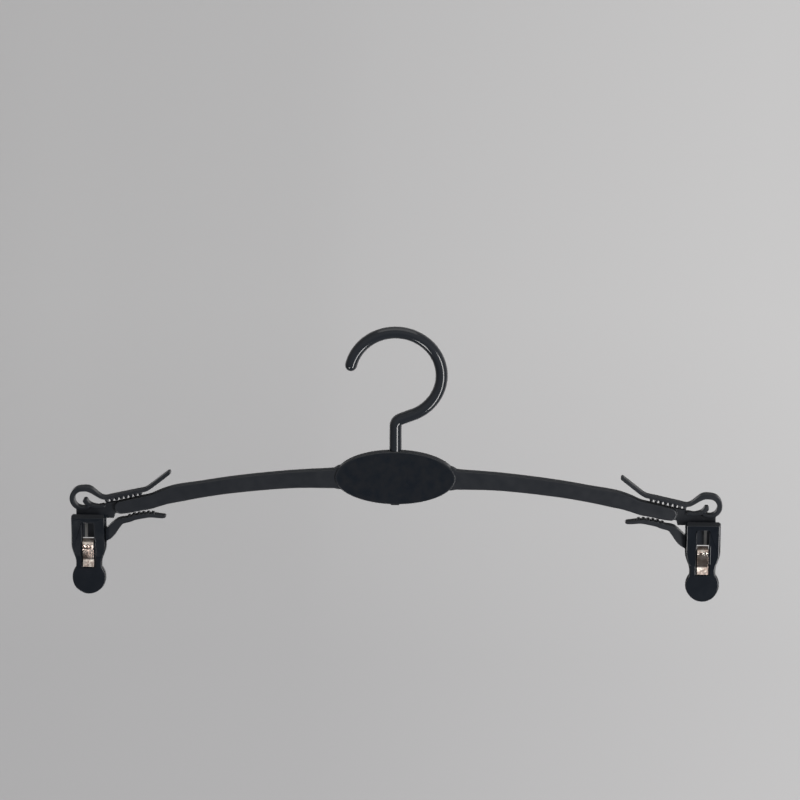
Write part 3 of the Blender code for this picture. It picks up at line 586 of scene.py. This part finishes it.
def sweep_material():
    """Pale grey where it is seen, with painted light that makes it paler to the right and
    upwards, darker for bounced light, and clear from behind.
    """
    result, n, shader = new_material("pale_grey_sweep")
    place = n.add("ShaderNodeTexCoord").outputs["Object"]
    x, _, z = n.add("ShaderNodeSeparateXYZ", Vector=place).outputs
    # Painted light: the backdrop grows paler to the right and upwards
    right = n.product(n.band(x, *PALER_RIGHT), PALER_RIGHT_SHARE)
    upward = n.product(n.band(z, *PALER_UP), PALER_UP_SHARE)
    grain = n.product(n.noise(place, *SWEEP_GRAIN), SWEEP_GRAIN_SHARE)
    painted_light_and_grain = n.math("ADD", n.math("ADD", right, grain), upward, clamp=True)
    pale = n.mix_colour(painted_light_and_grain, *WALL_COLOURS)
    pale = n.mix_colour(n.band(z, *FLOOR_TO_WALL), FLOOR_COLOUR, pale)
    path = n.add("ShaderNodeLightPath").outputs
    seen = n.math("ADD", path["Is Camera Ray"], path["Is Glossy Ray"])
    seen = n.math("ADD", seen, path["Is Transmission Ray"], clamp=True)
    n.put(shader.inputs["Base Color"], n.mix_colour(seen, SWEEP_FOR_BOUNCES, pale))
    shader.inputs["Roughness"].default_value = SWEEP_ROUGHNESS
    shader.inputs["Specular IOR Level"].default_value = SWEEP_SPECULAR
    behind = n.add("ShaderNodeNewGeometry").outputs["Backfacing"]
    either = n.add("ShaderNodeMixShader")
    n.put(either.inputs[0], behind)
    n.put(either.inputs[1], shader.outputs[0])
    n.put(either.inputs[2], n.add("ShaderNodeBsdfTransparent").outputs[0])
    surface = result.node_tree.nodes["Material Output"].inputs["Surface"]
    n.put(surface, either.outputs[0])
    return result


def wall_and_floor():
    """The plain pale backdrop."""
    mesh = sweep_mesh()
    sweep = add_object("sweep", mesh)
    mesh.materials.append(sweep_material())


def world_light():
    """A soft even surround, darker below."""
    world = bpy.data.worlds.new("surround")
    bpy.context.scene.world = world
    world.use_nodes = True
    n = Nodes(world.node_tree)
    around = n.add("ShaderNodeTexCoord").outputs["Generated"]
    height = n.add("ShaderNodeSeparateXYZ", Vector=around).outputs[2]
    shade = n.mix_colour(n.band(height, *SURROUND_RISE), *SURROUND_COLOURS)
    seen = n.add("ShaderNodeLightPath").outputs["Is Camera Ray"]
    background = world.node_tree.nodes["Background"]
    n.put(background.inputs["Color"], n.mix_colour(seen, shade, SURROUND_SEEN))
    background.inputs["Strength"].default_value = 1.0


def hanger():
    """The moulding, the two levers and the two springs, split at their crowns."""
    plastic = moulded_plastic()
    metal = spring_metal()
    body = rounded_copy("hanger_body", "moulding", BODY_ROUNDING, fitted=True)
    dress(body, "hanger_body", "base", plastic)
    crown = Vector((0.0, HINGE_Y, HINGE_Z))
    for side in ("left", "right"):
        node = side + "_clip_lever"
        lever = rounded_copy(node, side + "_lever", LEVER_ROUNDING, even_normals=False)
        dress(lever, node, side + "_clip", plastic)
        for part, normal, mover in (
            ("front_leg", Vector((0.0, 1.0, 0.0)), side + "_clip"),
            ("back_leg", Vector((0.0, -1.0, 0.0)), "base"),
        ):
            node = side + "_clip_spring"
            name = side + "_spring_" + part
            leg = rounded_copy(node, name, SPRING_ROUNDING, keep=(crown, normal))
            dress(leg, node, mover, metal)


bpy.context.scene.view_settings.view_transform = "Standard"
set_camera()
world_light()
wall_and_floor()
for settings in LIGHTS:
    soft_light(*settings)
hanger()
